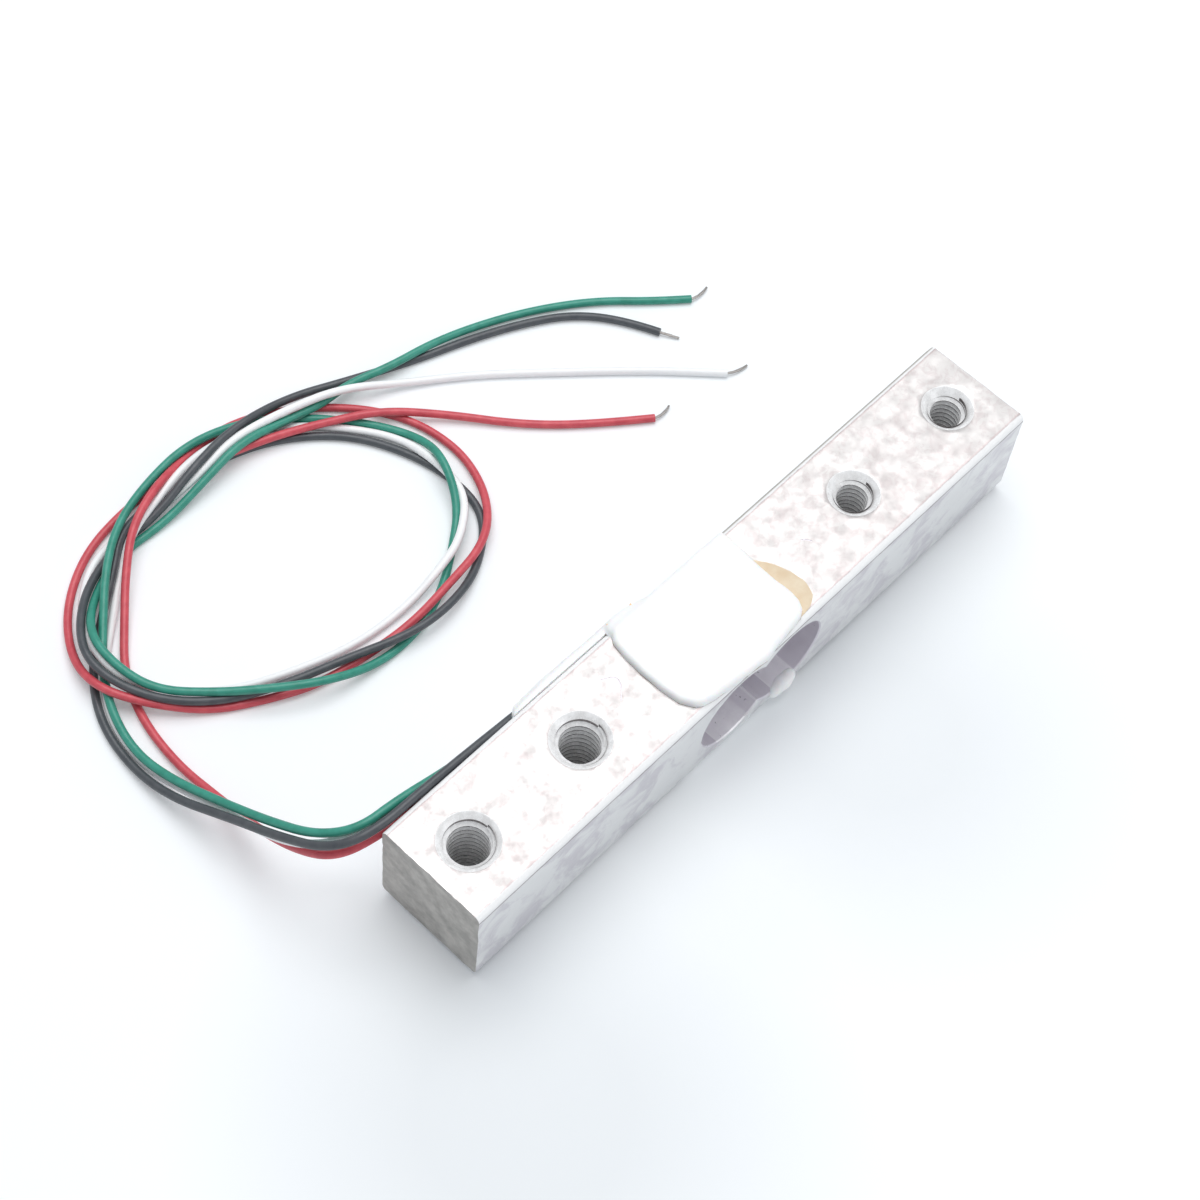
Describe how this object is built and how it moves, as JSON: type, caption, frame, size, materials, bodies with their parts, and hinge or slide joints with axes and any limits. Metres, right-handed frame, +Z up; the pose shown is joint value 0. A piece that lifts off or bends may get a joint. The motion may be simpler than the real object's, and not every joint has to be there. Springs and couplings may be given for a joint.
{
  "type": "bar load cell",
  "caption": "Square aluminium bar load cell with a double bore, threaded end holes, sealed strain gauges and thin lead wires.",
  "frame": {"origin": "on the standing surface, under the middle of the beam, at the flat underside of the sealant pad", "axes": "+X from the fixed end to the load end, +Y towards the side with the wires, +Z up"},
  "size_m": [0.0888, 0.0635, 0.0144],
  "materials": {
    "beam": "drawn and milled, matte",
    "sealant": "smooth cured white sealant",
    "adhesive": "clear amber film",
    "backing": "amber film",
    "foil": "etched foil",
    "board": "glass laminate",
    "copper": "tinned copper",
    "solder": "bright solder",
    "insulation_black": "soft satin",
    "insulation_green": "soft satin",
    "insulation_white": "soft satin",
    "insulation_red": "soft satin",
    "bare_wire": "tinned strands"
  },
  "bodies": {
    "root": {"beam": "beam", "sealant": "sealant", "adhesive_top": "adhesive", "adhesive_bottom": "adhesive", "gauge_backing_top_fixed": "backing", "gauge_foil_top_fixed": "foil", "gauge_backing_top_load": "backing", "gauge_foil_top_load": "foil", "gauge_backing_bottom_fixed": "backing", "gauge_foil_bottom_fixed": "foil", "gauge_backing_bottom_load": "backing", "gauge_foil_bottom_load": "foil", "terminal_board": "board", "terminal_pads": "copper", "inner_wire_cores": "bare_wire", "gauge_leads_top": "copper", "gauge_leads_bottom": "copper", "terminal_solder": "solder", "gauge_solder": "solder", "wire_black": "insulation_black", "wire_green": "insulation_green", "wire_white": "insulation_white", "wire_red": "insulation_red", "bare_end_black": "bare_wire", "bare_end_green": "bare_wire", "bare_end_white": "bare_wire", "bare_end_red": "bare_wire"}
  },
  "joints": []
}
